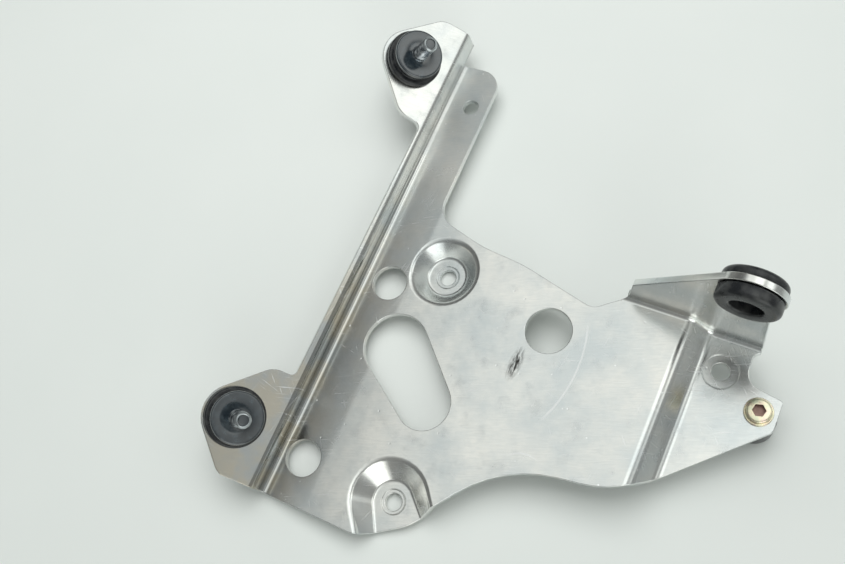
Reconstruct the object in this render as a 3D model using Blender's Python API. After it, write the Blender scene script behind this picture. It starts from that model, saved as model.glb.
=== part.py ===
# Instrument bracket for a motorcycle: one pressed aluminium sheet with two rubber isolators,
# a rubber grommet in an upright tab, and a rubber foot held by a socket screw.
# Metres, +Z up. The origin lies on the plate's top face, midway between the two ears.
import math

import bmesh
import bpy
from mathutils import Matrix, Vector

for old in list(bpy.data.objects):
    bpy.data.objects.remove(old, do_unlink=True)

# Everything is modelled in millimetres, and each finished mesh is scaled to metres
MM = 0.001

# Sheet and fit, in millimetres
SHEET = 2.5
GAP = 0.3
SKIM = 0.02
WELD = 0.001

# Channel along the left side: wall, ridge and the sloping flange that carries the ears
WALL_X = -50.0
WALL_HEIGHT = 7.5
FOLD_RADIUS = 2.2
RIDGE_RADIUS = 4.0
FLANGE_TILT = 39.0
FREE_EDGE_UPPER = 2.3
FREE_EDGE_LOWER = 3.6
FREE_EDGE_RADIUS = 2.5

# Ears, measured on the flange from the ridge corner and along the channel from the origin
EAR_REACH = 17.4
EAR_HALF_SPAN = 79.1
EAR_RADIUS = 12.1
EAR_SHOULDER_REACH = 12.4
EAR_SHOULDER_SPREAD = 22.3
EAR_SHOULDER_RADIUS = 8.0
EAR_ROOT_SPREAD = 22.7
EAR_TOP_MARGIN = 23.1
EAR_BOTTOM_MARGIN = 21.2
CHANNEL_TOP_Y = EAR_HALF_SPAN + EAR_TOP_MARGIN
CHANNEL_BOTTOM_Y = -EAR_HALF_SPAN - EAR_BOTTOM_MARGIN

# Plate outline; the strip beside the channel dips a little towards the fold from a light crease
CREASE_X = -30.5
CREASE_RADIUS = 20.0
STRIP_DIP = 0.6
STRIP_RIGHT_X = -31.7
STRIP_NOTCH = 10.2
STRIP_HOLE_INSET = 17.9
STRIP_TOP_Y = CHANNEL_TOP_Y - STRIP_NOTCH
STRIP_CORNER_RADIUS = 9.0
STRIP_ROOT_Y = 24.6
STRIP_ROOT_RADIUS = 10.0
TOP_EDGE_LEFT = (-9.0, 18.2)
TOP_EDGE_RIGHT = (8.0, 16.7)
TOP_EDGE_RADIUS = 60.0
BASE_CORNER = (-9.5, -99.2)
BASE_CORNER_RADIUS = 8.0
MOUTH_CORNER = (6.0, -88.6)
MOUTH_CORNER_RADIUS = 20.0
WAIST_CORNER = (31.1, -55.7)
WAIST_RADIUS = 48.0
HEEL_CORNER = (69.8, -49.7)
HEEL_RADIUS = 36.0
TOE_X = 110.4
TOE_BOTTOM_Y = -9.9
TOE_TOP_Y = 1.4
TOE_RADIUS = 2.5
THROAT_Y = 3.5
THROAT_RADIUS = 6.0
THROAT_RELIEF = 1.8

# Joggle: the step down to the low corner
JOGGLE_X = 73.4
JOGGLE_DROP = 8.0
JOGGLE_SLOPE = 50.0
JOGGLE_TOP_RADIUS = 5.0
JOGGLE_FOOT_RADIUS = 4.0

# Upright tab with its round lug
TAB_FACE_Y = 17.1
TAB_BEND_RADIUS = 2.0
TAB_LEFT_X = 49.8
TAB_SHOULDER = (52.4, 14.6)
TAB_RAMP_RUN = 10.5
TAB_RAMP_RISE = 8.1
TAB_RAMP_RADIUS = 6.0
LUG_X = 91.2
LUG_Z = 40.3
LUG_RADIUS = 11.2
TAB_NECK_SHARE = 0.64
TAB_RIGHT_X = LUG_X + TAB_NECK_SHARE * LUG_RADIUS

# Grommet in the lug
GROMMET_RADIUS = 10.4
GROMMET_BORE_RADIUS = 5.2
GROMMET_NECK_RADIUS = 8.5
GROMMET_FRONT = 4.4
GROMMET_REAR = 3.2
GROMMET_EDGE = 1.7

# Holes as (x, y, radius)
LOWER_HOLE_INSET = 18.1
LIGHTENING_HOLES = {
    "centre": (27.5, -4.5, 8.65),
    "upper_left": (-38.5, -7.6, 6.9),
    "lower_left": (-40.1, CHANNEL_BOTTOM_Y + LOWER_HOLE_INSET, 7.0),
    "strip": (-39.1, STRIP_TOP_Y - STRIP_HOLE_INSET, 3.2),
}
SLOT_UPPER = (-25.0, -30.1, 12.8)
SLOT_LOWER = (-5.5, -46.1, 10.4)
RING_HOLE = (87.9, 4.2, 3.15)
RING_RADIUS = 6.3
COIN_DEPTH = 0.25

# Round dimple and the open pocket, both pressed down from the plate
PRESS_DEPTH = 6.8
PRESS_FLOOR_RADIUS = 6.9
PRESS_RIM_ROLL = 3.0
PRESS_FLOOR_ROLL = 2.0
PRESS_HOLE_RADIUS = 3.2
PRESS_RING_RADIUS = 4.6
DIMPLE_CENTRE = (-19.7, 3.9)
DIMPLE_WALL_ANGLE = 52.0
POCKET_INSET = 17.3
POCKET_CENTRE = (-2.8, CHANNEL_BOTTOM_Y + POCKET_INSET)
POCKET_WALL_ANGLE = 44.0
POCKET_HEADING = -52.0
POCKET_SPREAD = 8.0
POCKET_REACH = 30.0

# Isolators: heights are measured up from the ear's top face
M6_RADIUS = 3.0
STUD_CHAMFER = 0.7
ISOLATOR_FLANGE_RADIUS = 11.3
ISOLATOR_FLANGE_HEIGHT = 2.7
ISOLATOR_WAIST_RADIUS = 8.9
ISOLATOR_RUBBER_HEIGHT = 5.1
ISOLATOR_HEAD_RADIUS = 9.6
ISOLATOR_DISC_RADIUS = 9.8
ISOLATOR_DISC_THICKNESS = 2.2
ISOLATOR_DISC_EDGE = 0.7
ISOLATOR_STUD_LENGTH = 12.2
BASE_DISC_RADIUS = 8.0
BASE_DISC_THICKNESS = 1.2
WASHER_RADIUS = 6.25
WASHER_THICKNESS = 1.2
NUT_ACROSS_FLATS = 10.0
NUT_HEIGHT = 5.0
NUT_FACE_SHARE = 0.95
STUD_BEYOND_NUT = 2.0

# Socket screw and rubber foot in the low corner
SCREW_X = 103.9
SCREW_Y = -5.2
M5_RADIUS = 2.5
SCREW_HEAD_RADIUS = 4.3
SCREW_HEAD_HEIGHT = 5.0
SCREW_HEAD_EDGE = 0.6
SCREW_SOCKET_ACROSS = 4.2
SCREW_SOCKET_DEPTH = 2.8
SCREW_LENGTH = 10.0
FOOT_RADIUS = 7.6
FOOT_HEIGHT = 11.7
FOOT_EDGE = 0.8
INSERT_FLANGE_RADIUS = 6.0
INSERT_FLANGE_THICKNESS = 1.2
INSERT_HUB_RADIUS = 4.6
INSERT_FLOOR = 1.2

ROUND_STEPS = 40
SMALL_STEPS = 24
POCKET_STEPS = 16


def polar(centre, radius, angle):
    """Point on a circle, with the angle in degrees."""
    a = math.radians(angle)
    return (centre[0] + radius * math.cos(a), centre[1] + radius * math.sin(a))


def arc(centre, radius, start, end, step=9.0):
    """Points along an arc from start to end, in degrees, both ends included."""
    count = max(2, math.ceil(abs(end - start) / step))
    return [polar(centre, radius, start + (end - start) * i / count) for i in range(count + 1)]


def tangent_angle(point, centre, radius, side):
    """Angle at which a line from a point touches a circle, on its left (1) or right (-1)."""
    away = Vector(point) - Vector(centre)
    spread = math.degrees(math.acos(radius / away.length))
    return math.degrees(math.atan2(away.y, away.x)) - side * spread


def rounded(corners, closed=True, step=9.0):
    """Outline through corners (x, y, radius), each rounded by a tangent arc."""
    points = []
    count = len(corners)
    for i, (x, y, radius) in enumerate(corners):
        inner = closed or 0 < i < count - 1
        if radius <= 0.0 or not inner:
            points.append((x, y))
            continue
        here = Vector((x, y))
        before = (Vector(corners[i - 1][:2]) - here).normalized()
        after = (Vector(corners[(i + 1) % count][:2]) - here).normalized()
        half = before.angle(after) / 2.0
        centre = here + (before + after).normalized() * (radius / math.sin(half))
        start = here + before * (radius / math.tan(half)) - centre
        end = here + after * (radius / math.tan(half)) - centre
        first = math.degrees(math.atan2(start.y, start.x))
        turn = math.degrees(math.atan2(start.cross(end), start.dot(end)))
        points += arc(centre, radius, first, first + turn, step)
    return points


def new_object(name, mesh_data):
    """Link a finished bmesh as an object and free it."""
    bmesh.ops.recalc_face_normals(mesh_data, faces=mesh_data.faces)
    mesh = bpy.data.meshes.new(name)
    mesh_data.to_mesh(mesh)
    mesh_data.free()
    obj = bpy.data.objects.new(name, mesh)
    bpy.context.scene.collection.objects.link(obj)
    return obj


def prism(name, outline, low, high, frame=Matrix()):
    """Solid from an outline pushed from low to high along the frame's Z axis."""
    bm = bmesh.new()
    face = bm.faces.new([bm.verts.new((x, y, low)) for x, y in outline])
    pushed = bmesh.ops.extrude_face_region(bm, geom=[face])
    moved = [v for v in pushed["geom"] if isinstance(v, bmesh.types.BMVert)]
    bmesh.ops.translate(bm, verts=moved, vec=(0.0, 0.0, (high - low)))
    bmesh.ops.transform(bm, matrix=frame, verts=bm.verts)
    return new_object(name, bm)


def cylinder(name, radius, low, high, frame=Matrix(), steps=SMALL_STEPS):
    """Round bar along the frame's Z axis."""
    circle = [polar((0.0, 0.0), radius, 360.0 * i / steps) for i in range(steps)]
    return prism(name, circle, low, high, frame)


def revolve(name, profile, steps=ROUND_STEPS, closed=False):
    """Turn a profile of (radius, height) points about Z; closed when it is a ring section."""
    bm = bmesh.new()
    verts = [bm.verts.new((r, 0.0, z)) for r, z in profile]
    pairs = list(zip(verts, verts[1:] + verts[:1])) if closed else list(zip(verts, verts[1:]))
    edges = [bm.edges.new(pair) for pair in pairs]
    bmesh.ops.spin(
        bm, geom=verts + edges, cent=(0, 0, 0), axis=(0, 0, 1),
        angle=math.tau, steps=steps, use_merge=True)
    bmesh.ops.remove_doubles(bm, verts=bm.verts, dist=WELD)
    poles = [v for v in bm.verts if v.co.xy.length < WELD]
    bmesh.ops.dissolve_verts(bm, verts=poles)
    return new_object(name, bm)


def combine(target, tool, operation):
    """Apply an exact boolean to the target, remove the tool and weld what nearly meets."""
    modifier = target.modifiers.new(operation.lower(), "BOOLEAN")
    modifier.operation = operation
    modifier.solver = "EXACT"
    modifier.object = tool
    bpy.context.view_layer.objects.active = target
    bpy.ops.object.modifier_apply(modifier=modifier.name)
    bpy.data.objects.remove(tool, do_unlink=True)
    bm = bmesh.new()
    bm.from_mesh(target.data)
    bmesh.ops.remove_doubles(bm, verts=bm.verts, dist=WELD)
    bmesh.ops.dissolve_degenerate(bm, edges=bm.edges, dist=WELD)
    bm.to_mesh(target.data)
    bm.free()


def at(x, y, z=0.0):
    """Matrix that moves to a place."""
    return Matrix.Translation((x, y, z))


def material(name, colour, roughness, metallic):
    """Plain Principled material."""
    made = bpy.data.materials.new(name)
    made.use_nodes = True
    shader = made.node_tree.nodes["Principled BSDF"]
    shader.inputs["Base Color"].default_value = (*colour, 1.0)
    shader.inputs["Roughness"].default_value = roughness
    shader.inputs["Metallic"].default_value = metallic
    return made


ALUMINIUM = material("pressed_aluminium", (0.72, 0.72, 0.70), 0.32, 1.0)
RUBBER = material("black_rubber", (0.018, 0.019, 0.021), 0.45, 0.0)
DARK_STEEL = material("blackened_steel", (0.13, 0.14, 0.16), 0.38, 1.0)
ZINC = material("clear_zinc_steel", (0.62, 0.62, 0.60), 0.34, 1.0)
YELLOW_ZINC = material("yellow_zinc_steel", (0.72, 0.60, 0.34), 0.30, 1.0)


def finish(obj, surface, parent=None):
    """Scale a part to metres, give it its material and smooth its round faces."""
    obj.data.transform(Matrix.Scale(MM, 4))
    obj.data.materials.append(surface)
    obj.data.shade_smooth()
    obj.data.set_sharp_from_angle(angle=math.radians(30.0))
    obj.parent = parent
    return obj


def mounting(name, matrix):
    """Empty that places a group of parts, from a matrix in millimetres."""
    empty = bpy.data.objects.new(name, None)
    empty.empty_display_size = 0.01
    empty.matrix_world = Matrix.Translation(matrix.translation * MM) @ matrix.to_3x3().to_4x4()
    bpy.context.scene.collection.objects.link(empty)
    return empty


TILT = math.radians(FLANGE_TILT)
FLANGE_FRAME = at(WALL_X, 0.0, WALL_HEIGHT) @ Matrix((
    (-math.cos(TILT), 0.0, math.sin(TILT), 0.0),
    (0.0, 1.0, 0.0, 0.0),
    (math.sin(TILT), 0.0, math.cos(TILT), 0.0),
    (0.0, 0.0, 0.0, 1.0)))
LUG_FRAME = at(LUG_X, TAB_FACE_Y, LUG_Z) @ Matrix.Rotation(math.radians(90.0), 4, "X")
ALONG_Y = Matrix.Rotation(math.radians(90.0), 4, "X")


def ear_frame(side):
    """Frame on an ear's top face with Z along its isolator: side 1 is upper, -1 lower."""
    reach = EAR_REACH
    place = at(WALL_X - reach * math.cos(TILT), side * EAR_HALF_SPAN,
               WALL_HEIGHT + reach * math.sin(TILT))
    return place @ Matrix.Rotation(TILT, 4, "Y")


def sheet_section():
    """Top face of the sheet seen along the channel, from the ears' edge to the low corner."""
    reach = EAR_REACH + EAR_RADIUS + SHEET
    run = JOGGLE_DROP / math.tan(math.radians(JOGGLE_SLOPE))
    ear_edge = (WALL_X - reach * math.cos(TILT), WALL_HEIGHT + reach * math.sin(TILT), 0.0)
    low_end = TOE_X + SHEET
    corners = [
        ear_edge,
        (WALL_X, WALL_HEIGHT, RIDGE_RADIUS),
        (WALL_X, -STRIP_DIP, FOLD_RADIUS),
        (CREASE_X, 0.0, CREASE_RADIUS),
        (TAB_LEFT_X - TAB_RAMP_RUN, 0.0, 0.0),
        (TAB_LEFT_X - TAB_BEND_RADIUS, 0.0, 0.0),
        (JOGGLE_X, 0.0, JOGGLE_TOP_RADIUS),
        (JOGGLE_X + run, -JOGGLE_DROP, JOGGLE_FOOT_RADIUS),
        (low_end, -JOGGLE_DROP, 0.0),
    ]
    return rounded(corners, closed=False)


def folded_sheet():
    """Blank of even thickness with every fold in it, before its outline is cut."""
    section = sheet_section()
    bend_y = TAB_FACE_Y - TAB_BEND_RADIUS
    flat_rows = [CHANNEL_BOTTOM_Y - SHEET, bend_y, CHANNEL_TOP_Y + SHEET]
    bend_rows = arc((bend_y, TAB_BEND_RADIUS), TAB_BEND_RADIUS, -90.0, 0.0, 15.0)
    tab_top = LUG_Z + LUG_RADIUS + SHEET
    ramp_x = TAB_LEFT_X - TAB_RAMP_RUN

    bm = bmesh.new()
    flat = [[bm.verts.new((x, y, z)) for y in flat_rows] for x, z in section]
    columns = list(zip(section, flat, flat[1:]))
    for (x, z), left, right in columns:
        bm.faces.new((left[0], right[0], right[1], left[1]))
        if x < ramp_x - SKIM:
            bm.faces.new((left[1], right[1], right[2], left[2]))

    upright = []
    for (x, z), column in zip(section, flat):
        if x < ramp_x + SKIM:
            continue
        risen = [bm.verts.new((x, y, (z + up))) for y, up in bend_rows[1:]]
        top = bm.verts.new((x, TAB_FACE_Y, tab_top))
        upright.append([column[1], *risen, top])
    for left, right in zip(upright, upright[1:]):
        for k in range(len(left) - 1):
            bm.faces.new((left[k], right[k], right[k + 1], left[k + 1]))

    loose = [v for v in bm.verts if not v.link_faces]
    bmesh.ops.delete(bm, geom=loose, context="VERTS")
    mesh = bpy.data.meshes.new("bracket_plate")
    bm.to_mesh(mesh)
    bm.free()
    sheet = bpy.data.objects.new("bracket_plate", mesh)
    bpy.context.scene.collection.objects.link(sheet)

    solidify = sheet.modifiers.new("thickness", "SOLIDIFY")
    solidify.thickness = SHEET
    solidify.offset = -1.0
    solidify.use_even_offset = True
    triangles = sheet.modifiers.new("triangles", "TRIANGULATE")
    bpy.context.view_layer.objects.active = sheet
    bpy.ops.object.modifier_apply(modifier=solidify.name)
    bpy.ops.object.modifier_apply(modifier=triangles.name)
    return sheet


def press_profile(wall_angle, offset):
    """Section of a pressing from its flat floor out to its rim: (radius, height) points.

    An offset of zero gives the top face, and the sheet's thickness gives the underside.
    """
    slope = math.radians(wall_angle)
    rolls = (PRESS_RIM_ROLL + PRESS_FLOOR_ROLL) * (1.0 - math.cos(slope))
    wall_run = (PRESS_DEPTH - rolls) / math.tan(slope)
    rolls_run = (PRESS_RIM_ROLL + PRESS_FLOOR_ROLL) * math.sin(slope)
    rim = PRESS_FLOOR_RADIUS + wall_run + rolls_run
    floor_centre = (PRESS_FLOOR_RADIUS, PRESS_FLOOR_ROLL - PRESS_DEPTH)
    rim_centre = (rim, -PRESS_RIM_ROLL)
    floor = arc(floor_centre, PRESS_FLOOR_ROLL + offset, -90.0, wall_angle - 90.0, 13.0)
    roll = arc(rim_centre, PRESS_RIM_ROLL - offset, 90.0 + wall_angle, 90.0, 13.0)
    return floor + roll[:-1] + [(rim + SKIM, SKIM - offset)]


def dimple_tools():
    """Plug for the dimple's underside and punch for its hollow."""
    place = at(*DIMPLE_CENTRE)
    tools = []
    for name, offset, top in (("plug", SHEET, -SHEET / 2.0), ("punch", 0.0, SHEET)):
        profile = press_profile(DIMPLE_WALL_ANGLE, offset)
        rim = profile[-1][0]
        section = [(0.0, profile[0][1]), *profile, (rim, top), (0.0, top)]
        tool = revolve("dimple_" + name, section)
        tool.data.transform(place)
        tools.append(tool)
    return tools


def pocket_loop(radius, spread):
    """U-shaped line round the pocket's closed end and out past the plate's edge."""
    turn = (180.0 - 2.0 * spread) / POCKET_STEPS
    bend = [polar((0.0, 0.0), radius, 90.0 + spread + turn * i) for i in range(POCKET_STEPS + 1)]
    mouth = bend[0][1] + (POCKET_REACH - bend[0][0]) * math.tan(math.radians(spread))
    return [(POCKET_REACH, mouth), *bend, (POCKET_REACH, -mouth)]


def pocket_tools():
    """Plug and punch of the open pocket, lofted through U-shaped lines."""
    place = at(*POCKET_CENTRE) @ Matrix.Rotation(math.radians(POCKET_HEADING), 4, "Z")
    tools = []
    for name, offset, top in (("plug", SHEET, -SHEET / 2.0), ("punch", 0.0, SHEET)):
        profile = press_profile(POCKET_WALL_ANGLE, offset)
        floor_radius = profile[0][0]
        rim = profile[-1][0]
        levels = [*profile, (rim, top)]
        bm = bmesh.new()
        loops = []
        for radius, height in levels:
            share = (rim - radius) / (rim - floor_radius)
            line = pocket_loop(radius, POCKET_SPREAD * share)
            loops.append([bm.verts.new((u, v, height)) for u, v in line])
        for lower, upper in zip(loops, loops[1:]):
            for k in range(len(lower) - 1):
                bm.faces.new((lower[k], lower[k + 1], upper[k + 1], upper[k]))
        bm.faces.new(loops[0])
        bm.faces.new(loops[-1])
        bm.faces.new([loop[0] for loop in loops] + [loop[-1] for loop in reversed(loops)])
        bmesh.ops.transform(bm, matrix=place, verts=bm.verts)
        bmesh.ops.triangulate(bm, faces=bm.faces)
        tools.append(new_object("pocket_" + name, bm))
    return tools


def coined_hole(radius, ring_radius, place):
    """Cutter for a hole with a shallow coined ring round it."""
    section = [
        (0.0, -2.0 * SHEET),
        (radius, -2.0 * SHEET),
        (radius, -COIN_DEPTH),
        (ring_radius, -COIN_DEPTH),
        (ring_radius, SHEET),
        (0.0, SHEET),
    ]
    cutter = revolve("coined_hole", section, SMALL_STEPS)
    cutter.data.transform(place)
    return cutter


def plate_outline():
    """Outline seen from above; the ears and the lug are cut by their own outlines."""
    beyond = EAR_REACH + EAR_RADIUS + RIDGE_RADIUS
    tab_back = TAB_FACE_Y + SHEET + PRESS_DEPTH
    notch_x = WALL_X + FOLD_RADIUS
    throat_y = TAB_FACE_Y - TAB_BEND_RADIUS + GAP
    throat_x = TAB_RIGHT_X - THROAT_RELIEF
    corners = [
        (WALL_X - beyond, CHANNEL_BOTTOM_Y, 0.0),
        (*BASE_CORNER, BASE_CORNER_RADIUS),
        (*MOUTH_CORNER, MOUTH_CORNER_RADIUS),
        (*WAIST_CORNER, WAIST_RADIUS),
        (*HEEL_CORNER, HEEL_RADIUS),
        (TOE_X, TOE_BOTTOM_Y, TOE_RADIUS),
        (TOE_X, TOE_TOP_Y, TOE_RADIUS / 2.0),
        (throat_x, THROAT_Y, THROAT_RADIUS),
        (throat_x, throat_y - THROAT_RELIEF, THROAT_RELIEF),
        (TAB_RIGHT_X, throat_y, 0.0),
        (LUG_X + LUG_RADIUS + SHEET, throat_y, 0.0),
        (LUG_X + LUG_RADIUS + SHEET, tab_back, 0.0),
        (TAB_LEFT_X, tab_back, 0.0),
        (TAB_LEFT_X, TAB_FACE_Y, 0.0),
        (TAB_LEFT_X - TAB_RAMP_RUN, TAB_FACE_Y - TAB_RAMP_RISE, TAB_RAMP_RADIUS),
        (*TOP_EDGE_RIGHT, TOP_EDGE_RADIUS),
        (*TOP_EDGE_LEFT, TOP_EDGE_RADIUS),
        (STRIP_RIGHT_X, STRIP_ROOT_Y, STRIP_ROOT_RADIUS),
        (STRIP_RIGHT_X, STRIP_TOP_Y, STRIP_CORNER_RADIUS),
        (notch_x, STRIP_TOP_Y, 0.0),
        (notch_x, CHANNEL_TOP_Y, 0.0),
        (WALL_X - beyond, CHANNEL_TOP_Y, 0.0),
    ]
    return rounded(corners, step=8.0)


def flange_waste():
    """What is cut off the sloping flange round the two ears, on the flange's own plane."""
    far = EAR_REACH + EAR_RADIUS + 2.0 * SHEET
    top_shoulder = EAR_TOP_MARGIN - 2.0 * GAP
    low_shoulder = EAR_BOTTOM_MARGIN + SKIM
    low_reach = EAR_SHOULDER_REACH + SHEET / 2.0

    def ear(side, first, second):
        centre = (EAR_REACH, side * EAR_HALF_SPAN)
        start = tangent_angle(first, centre, EAR_RADIUS, 1)
        end = tangent_angle(second, centre, EAR_RADIUS, -1)
        end -= 360.0 * math.ceil((end - start) / 360.0)
        return [(x, y, 0.0) for x, y in arc(centre, EAR_RADIUS, start, end)]

    upper_outer = (EAR_SHOULDER_REACH, EAR_HALF_SPAN + top_shoulder)
    upper_inner = (EAR_SHOULDER_REACH, EAR_HALF_SPAN - EAR_SHOULDER_SPREAD)
    lower_inner = (EAR_SHOULDER_REACH, EAR_SHOULDER_SPREAD - EAR_HALF_SPAN)
    lower_outer = (low_reach, -EAR_HALF_SPAN - low_shoulder)
    corners = [
        (far, CHANNEL_TOP_Y + 2.0 * SHEET, 0.0),
        (-SHEET / 2.0, CHANNEL_TOP_Y + 2.0 * SHEET, 0.0),
        (-SHEET / 2.0, CHANNEL_TOP_Y + GAP, 0.0),
        (*upper_outer, EAR_SHOULDER_RADIUS),
        *ear(1, upper_outer, upper_inner),
        (*upper_inner, EAR_SHOULDER_RADIUS),
        (FREE_EDGE_UPPER, EAR_HALF_SPAN - EAR_ROOT_SPREAD, FREE_EDGE_RADIUS),
        (FREE_EDGE_LOWER, EAR_ROOT_SPREAD - EAR_HALF_SPAN, FREE_EDGE_RADIUS),
        (*lower_inner, EAR_SHOULDER_RADIUS),
        *ear(-1, lower_inner, lower_outer),
        (*lower_outer, EAR_SHOULDER_RADIUS),
        (-SHEET / 2.0, CHANNEL_BOTTOM_Y - 2.0 * SKIM, 0.0),
        (-SHEET / 2.0, CHANNEL_BOTTOM_Y - 2.0 * SHEET, 0.0),
        (far, CHANNEL_BOTTOM_Y - 2.0 * SHEET, 0.0),
    ]
    return rounded(corners)


def tab_waste():
    """What is cut off the upright sheet round the tab and lug, seen from the front."""
    centre = (LUG_X, LUG_Z)
    foot = (TAB_RIGHT_X, -JOGGLE_DROP - 2.0 * SHEET)
    start = tangent_angle(TAB_SHOULDER, centre, LUG_RADIUS, 1)
    end = -math.degrees(math.acos(TAB_NECK_SHARE))
    end -= 360.0 * math.ceil((end - start) / 360.0)
    top = LUG_Z + LUG_RADIUS + 2.0 * SHEET
    right = LUG_X + LUG_RADIUS + 2.0 * SHEET
    left = TAB_LEFT_X - TAB_BEND_RADIUS - SHEET
    base = TAB_BEND_RADIUS + GAP
    lean = (TAB_SHOULDER[0] - TAB_LEFT_X) / TAB_SHOULDER[1]
    return [
        (left, base),
        (TAB_LEFT_X + lean * base, base),
        TAB_SHOULDER,
        *arc(centre, LUG_RADIUS, start, end),
        foot,
        (right, foot[1]),
        (right, top),
        (left, top),
    ]


def slot_outline():
    """Slot as two round ends of different size joined by tangent sides."""
    first = Vector(SLOT_UPPER[:2])
    second = Vector(SLOT_LOWER[:2])
    along = second - first
    heading = math.degrees(math.atan2(along.y, along.x))
    half = math.degrees(math.acos((SLOT_UPPER[2] - SLOT_LOWER[2]) / along.length))
    upper = arc(first, SLOT_UPPER[2], heading + half, heading + 360.0 - half, 10.0)
    lower = arc(second, SLOT_LOWER[2], heading - half, heading + half, 10.0)
    return upper + lower


def bracket_plate():
    """The pressed sheet: fold it, press the dimples, then cut outline and holes."""
    plate = folded_sheet()
    for (plug, punch), centre in ((dimple_tools(), DIMPLE_CENTRE), (pocket_tools(), POCKET_CENTRE)):
        combine(plate, plug, "UNION")
        combine(plate, punch, "DIFFERENCE")
        floor = at(*centre, -PRESS_DEPTH)
        combine(plate, coined_hole(PRESS_HOLE_RADIUS, PRESS_RING_RADIUS, floor), "DIFFERENCE")

    tall = LUG_Z + LUG_RADIUS + 2.0 * SHEET
    deep = -JOGGLE_DROP - PRESS_DEPTH - 2.0 * SHEET
    combine(plate, prism("outline", plate_outline(), deep, tall), "INTERSECT")
    flange_cut = prism("flange_waste", flange_waste(), -2.0 * SHEET, 2.0 * SHEET, FLANGE_FRAME)
    combine(plate, flange_cut, "DIFFERENCE")
    front = -TAB_FACE_Y + TAB_BEND_RADIUS + SHEET / 4.0
    back = -TAB_FACE_Y - 2.0 * SHEET
    combine(plate, prism("tab_waste", tab_waste(), back, front, ALONG_Y), "DIFFERENCE")

    below = -SHEET - FOLD_RADIUS - STRIP_DIP
    notch = [
        (WALL_X - 2.0 * SHEET, STRIP_TOP_Y),
        (STRIP_RIGHT_X, STRIP_TOP_Y),
        (STRIP_RIGHT_X, CHANNEL_TOP_Y + SHEET),
        (WALL_X - 2.0 * SHEET, CHANNEL_TOP_Y + SHEET),
    ]
    combine(plate, prism("channel_notch", notch, below, FOLD_RADIUS / 5.0), "DIFFERENCE")

    for name, (x, y, radius) in LIGHTENING_HOLES.items():
        combine(plate, cylinder(name, radius, -2.0 * SHEET, SHEET, at(x, y), ROUND_STEPS), "DIFFERENCE")
    combine(plate, prism("slot", slot_outline(), -2.0 * SHEET, SHEET), "DIFFERENCE")

    ring = at(RING_HOLE[0], RING_HOLE[1], -JOGGLE_DROP)
    combine(plate, coined_hole(RING_HOLE[2], RING_RADIUS, ring), "DIFFERENCE")

    screw = at(SCREW_X, SCREW_Y, -JOGGLE_DROP)
    combine(plate, cylinder("screw_hole", M5_RADIUS + GAP, -2.0 * SHEET, SHEET, screw), "DIFFERENCE")
    for side in (1, -1):
        ear = ear_frame(side)
        combine(plate, cylinder("ear_hole", M6_RADIUS + GAP, -2.0 * SHEET, SHEET, ear), "DIFFERENCE")
    neck_hole = GROMMET_NECK_RADIUS + GAP
    combine(plate, cylinder("lug_hole", neck_hole, -2.0 * SHEET, SHEET, LUG_FRAME, ROUND_STEPS), "DIFFERENCE")
    return finish(plate, ALUMINIUM)


def hexagon(across):
    """Six corners of a hexagon by its size across flats."""
    corner = across / math.sqrt(3.0)
    return [polar((0.0, 0.0), corner, 60.0 * i) for i in range(6)]


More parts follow.
